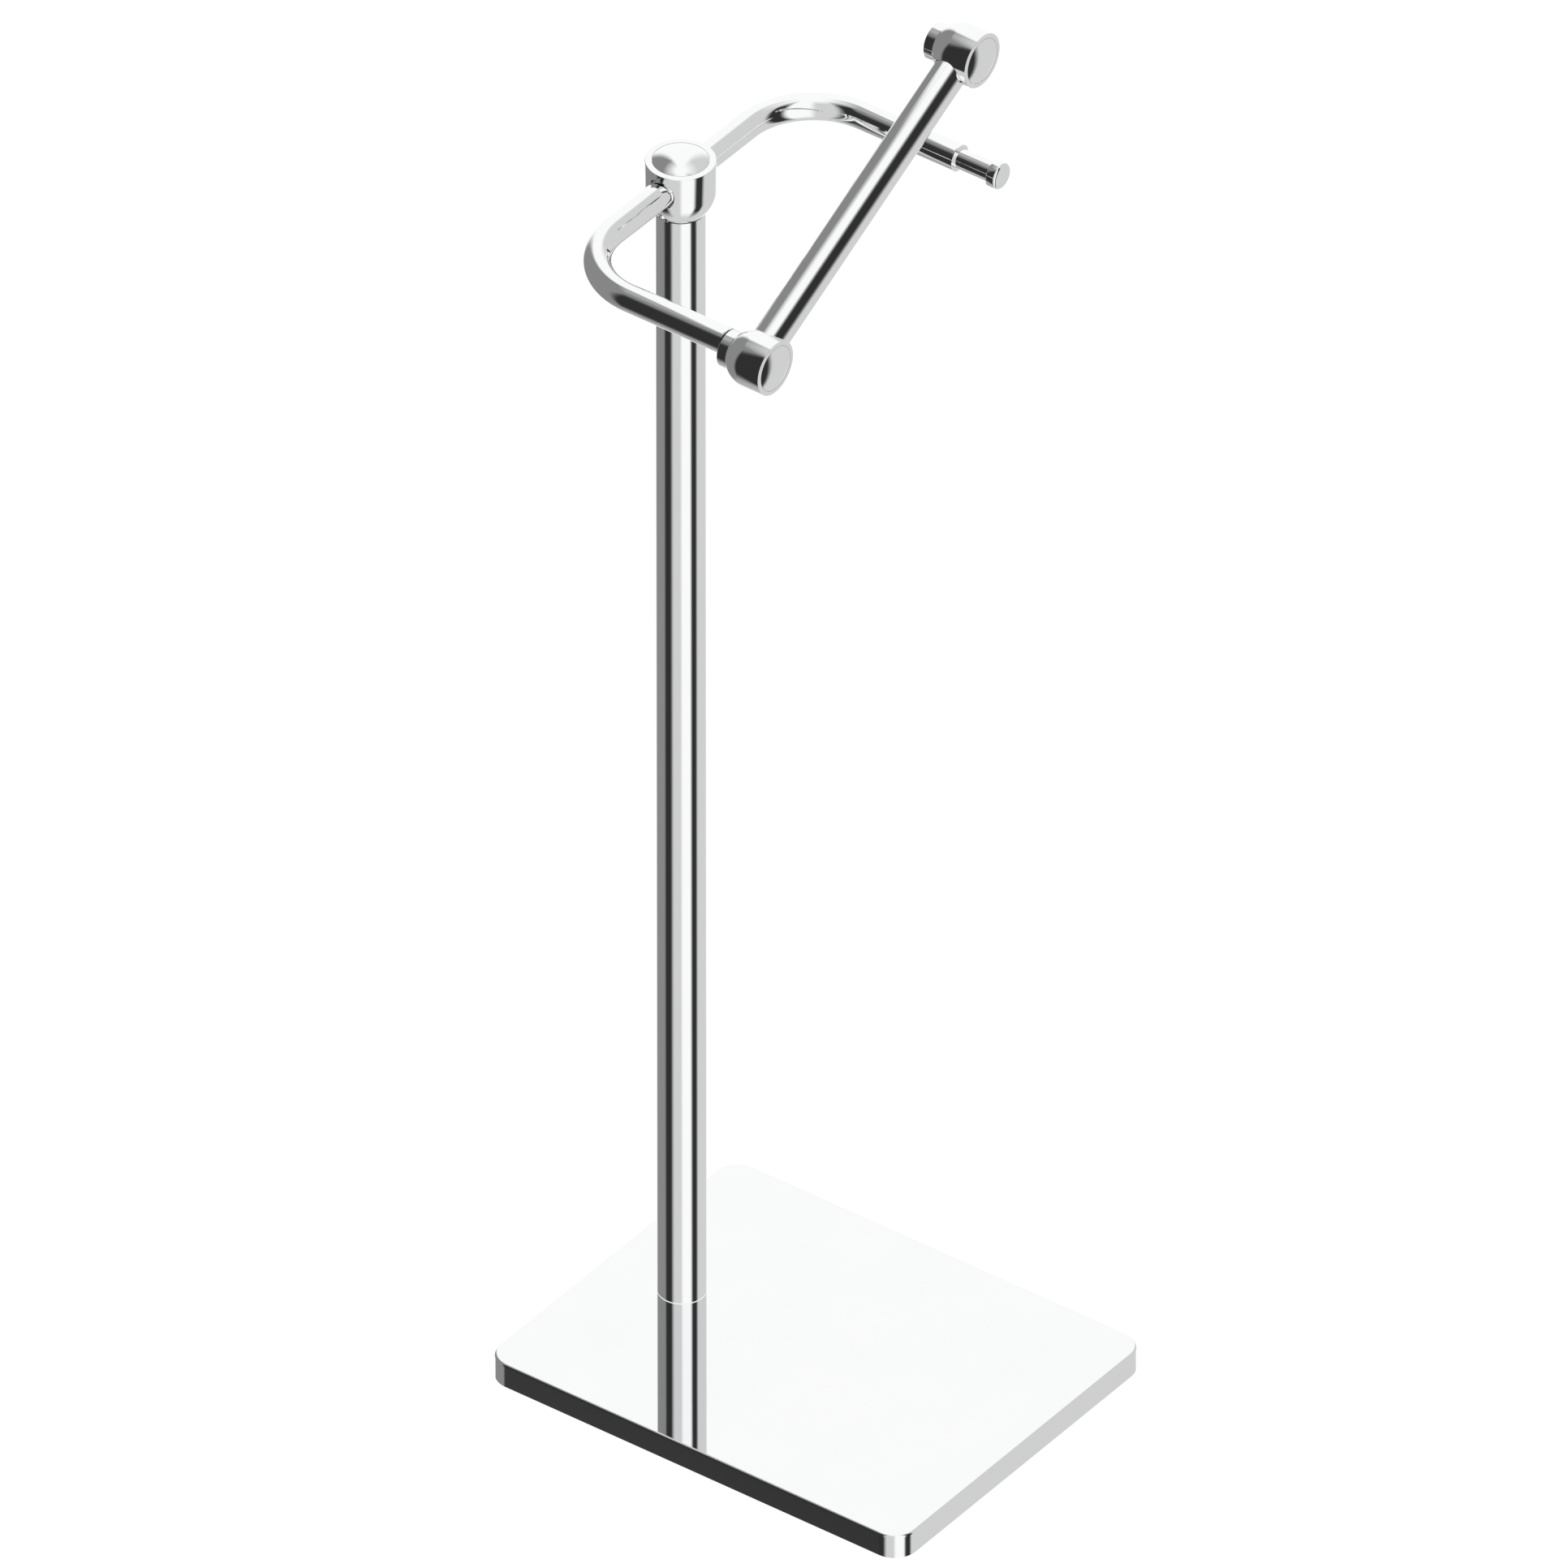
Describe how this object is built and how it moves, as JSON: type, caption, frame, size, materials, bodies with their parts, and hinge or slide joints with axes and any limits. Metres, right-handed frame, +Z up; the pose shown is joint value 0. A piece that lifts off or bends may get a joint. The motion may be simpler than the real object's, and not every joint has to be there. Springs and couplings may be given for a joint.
{
  "type": "toilet tissue stand",
  "caption": "Free-standing holder for a tissue roll: flat weighted base, round post, two bent arms and a roll bar that lifts up on a pivot.",
  "frame": {"origin": "on the floor, under the middle of the base pad", "axes": "+Z up along the post, +X the way the arms reach, +Y from the near arm to the far arm"},
  "size_m": [0.2286, 0.1891, 0.7067],
  "materials": {
    "chrome": "polished",
    "zinc_plated": "zinc plated, turned",
    "fasteners": "plain machined steel",
    "foam_pad": "matte closed-cell foam",
    "nylon": "natural, smooth"
  },
  "bodies": {
    "stand": {"base_plate": "chrome", "base_pad": "foam_pad", "post_screw": "fasteners", "post_screw_washer": "fasteners", "post_bottom_plug": "zinc_plated", "post_tube": "chrome", "post_top_plug": "zinc_plated", "hub_stud": "fasteners", "hub": "chrome", "hub_cap": "chrome", "near_hub_grub": "fasteners", "far_hub_grub": "fasteners", "near_arm": "chrome", "far_arm": "chrome", "near_pivot_pin": "zinc_plated", "pivot_screw": "fasteners", "far_peg": "chrome"},
    "bar": {"near_cup": "chrome", "pivot_sleeve": "nylon", "pivot_washer": "fasteners", "near_cup_cap": "chrome", "near_bar_stud": "fasteners", "near_bar_plug": "zinc_plated", "bar_tube": "chrome", "far_bar_plug": "zinc_plated", "far_bar_stud": "fasteners", "far_cup": "chrome", "far_cup_cap": "chrome"}
  },
  "joints": [
    {"name": "bar_lift", "type": "hinge", "parent": "stand", "child": "bar", "pos_m": [0.0307, -0.08475, 0.61614], "axis": [1, 0, 0], "range_deg": [-27.3, 62.7]}
  ]
}
